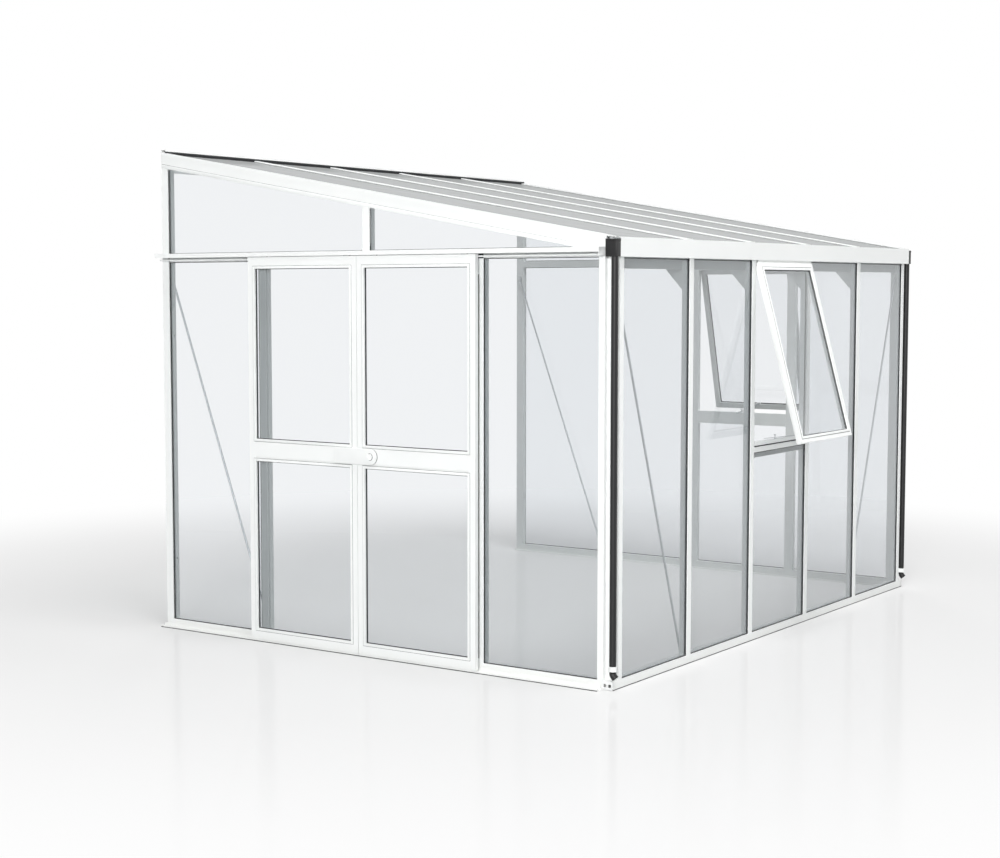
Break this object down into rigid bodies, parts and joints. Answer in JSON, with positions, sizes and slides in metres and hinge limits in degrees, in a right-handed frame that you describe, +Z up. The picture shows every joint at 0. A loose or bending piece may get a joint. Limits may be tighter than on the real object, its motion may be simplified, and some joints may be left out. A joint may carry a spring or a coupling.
{
  "type": "lean-to greenhouse",
  "caption": "Lean-to greenhouse of white aluminium bars and clear panes, with a sliding double door, top-hung windows and a gutter with rain pipes.",
  "frame": {"origin": "middle of the underside of the front sill, on the ground", "axes": "+X along the front from the door gable to the other gable, +Y to the rear where it is fastened, +Z up"},
  "size_m": [4.1514, 3.2951, 2.7649],
  "materials": {
    "white_coated_aluminium": "satin powder coat",
    "clear_glass": "clear",
    "black_plastic": "matte",
    "white_plastic": "semi gloss",
    "black_rubber": "matte",
    "bare_steel": "zinc plated"
  },
  "bodies": {
    "frame": {"front_sill": "white_coated_aluminium", "near_sill": "white_coated_aluminium", "far_sill": "white_coated_aluminium", "near_corner_post": "white_coated_aluminium", "far_corner_post": "white_coated_aluminium", "near_wall_post": "white_coated_aluminium", "far_wall_post": "white_coated_aluminium", "front_post_1": "white_coated_aluminium", "front_post_2": "white_coated_aluminium", "front_post_3": "white_coated_aluminium", "front_post_4": "white_coated_aluminium", "far_post_1": "white_coated_aluminium", "far_post_2": "white_coated_aluminium", "far_post_3": "white_coated_aluminium", "door_jambs": "white_coated_aluminium", "gable_top_posts": "white_coated_aluminium", "near_head_rail": "white_coated_aluminium", "far_head_rail": "white_coated_aluminium", "gutter_tray": "white_coated_aluminium", "gutter_fascia": "white_coated_aluminium", "eaves_beam": "white_coated_aluminium", "wall_plate": "white_coated_aluminium", "near_verge": "white_coated_aluminium", "far_verge": "white_coated_aluminium", "roof_bars": "white_coated_aluminium", "wall_flashing": "white_coated_aluminium", "front_window_rails": "white_coated_aluminium", "far_window_rails": "white_coated_aluminium", "knee_braces": "white_coated_aluminium", "brace_rods": "bare_steel", "front_glass": "clear_glass", "near_gable_glass": "clear_glass", "far_gable_glass": "clear_glass", "roof_glass": "clear_glass", "glazing_caps": "white_coated_aluminium", "glazing_gaskets": "black_rubber", "outlet_boxes": "black_plastic", "downpipes": "black_plastic", "pipe_clips": "white_plastic", "drain_shoes": "black_plastic", "frame_bolts": "bare_steel", "stay_pegs": "bare_steel"},
    "left_door": {"left_leaf_frame": "white_coated_aluminium", "left_leaf_glass": "clear_glass", "left_leaf_fittings": "bare_steel"},
    "right_door": {"right_leaf_frame": "white_coated_aluminium", "right_leaf_glass": "clear_glass", "right_leaf_fittings": "bare_steel", "lock_case": "white_plastic"},
    "left_front_wheel": {"left_wheel_front": "black_plastic"},
    "left_rear_wheel": {"left_wheel_rear": "black_plastic"},
    "right_front_wheel": {"right_wheel_front": "black_plastic"},
    "right_rear_wheel": {"right_wheel_rear": "black_plastic"},
    "turn_knob": {"lock_knob": "white_plastic"},
    "front_window": {"front_sash": "white_coated_aluminium", "front_sash_glass": "clear_glass"},
    "front_window_stay": {"front_stay": "bare_steel"},
    "far_window": {"far_sash": "white_coated_aluminium", "far_sash_glass": "clear_glass"},
    "far_window_stay": {"far_stay": "bare_steel"}
  },
  "joints": [
    {"name": "left_door_slide", "type": "slide", "parent": "frame", "child": "left_door", "axis": [0, 1, 0], "range_m": [0, 0.7]},
    {"name": "right_door_slide", "type": "slide", "parent": "frame", "child": "right_door", "axis": [0, -1, 0], "range_m": [0, 0.7]},
    {"name": "left_front_wheel_turn", "type": "hinge", "parent": "left_door", "child": "left_front_wheel", "pos_m": [-1.906, 1.5985, 2.1481], "axis": [1, 0, 0], "continuous": true},
    {"name": "left_rear_wheel_turn", "type": "hinge", "parent": "left_door", "child": "left_rear_wheel", "pos_m": [-1.906, 2.1795, 2.1481], "axis": [1, 0, 0], "continuous": true},
    {"name": "right_front_wheel_turn", "type": "hinge", "parent": "right_door", "child": "right_front_wheel", "pos_m": [-1.906, 0.8345, 2.1481], "axis": [1, 0, 0], "continuous": true},
    {"name": "right_rear_wheel_turn", "type": "hinge", "parent": "right_door", "child": "right_rear_wheel", "pos_m": [-1.906, 1.4155, 2.1481], "axis": [1, 0, 0], "continuous": true},
    {"name": "knob_turn", "type": "hinge", "parent": "right_door", "child": "turn_knob", "pos_m": [-1.966, 1.414, 1.081], "axis": [-1, 0, 0], "range_deg": [0, 90]},
    {"name": "front_window_hinge", "type": "hinge", "parent": "frame", "child": "front_window", "pos_m": [0, -0.038, 2.106], "axis": [-1, 0, 0], "range_deg": [-15, 3]},
    {"name": "front_stay_pivot", "type": "hinge", "parent": "front_window", "child": "front_window_stay", "pos_m": [0, -0.26601, 1.1546], "axis": [-1, 0, 0], "range_deg": [-2, 8]},
    {"name": "far_window_hinge", "type": "hinge", "parent": "frame", "child": "far_window", "pos_m": [1.894, 1.126, 2.106], "axis": [0, -1, 0], "range_deg": [-15, 3]},
    {"name": "far_stay_pivot", "type": "hinge", "parent": "far_window", "child": "far_window_stay", "pos_m": [2.12201, 1.126, 1.1546], "axis": [0, -1, 0], "range_deg": [-2, 8]}
  ],
  "couplings": [
    {"joint": "left_front_wheel_turn", "follows": "left_door_slide", "rad_per_m": -83.333},
    {"joint": "left_rear_wheel_turn", "follows": "left_door_slide", "rad_per_m": -83.333},
    {"joint": "right_front_wheel_turn", "follows": "right_door_slide", "rad_per_m": 83.333},
    {"joint": "right_rear_wheel_turn", "follows": "right_door_slide", "rad_per_m": 83.333},
    {"joint": "front_stay_pivot", "follows": "front_window_hinge", "ratio": -0.473},
    {"joint": "far_stay_pivot", "follows": "far_window_hinge", "ratio": -0.473}
  ]
}
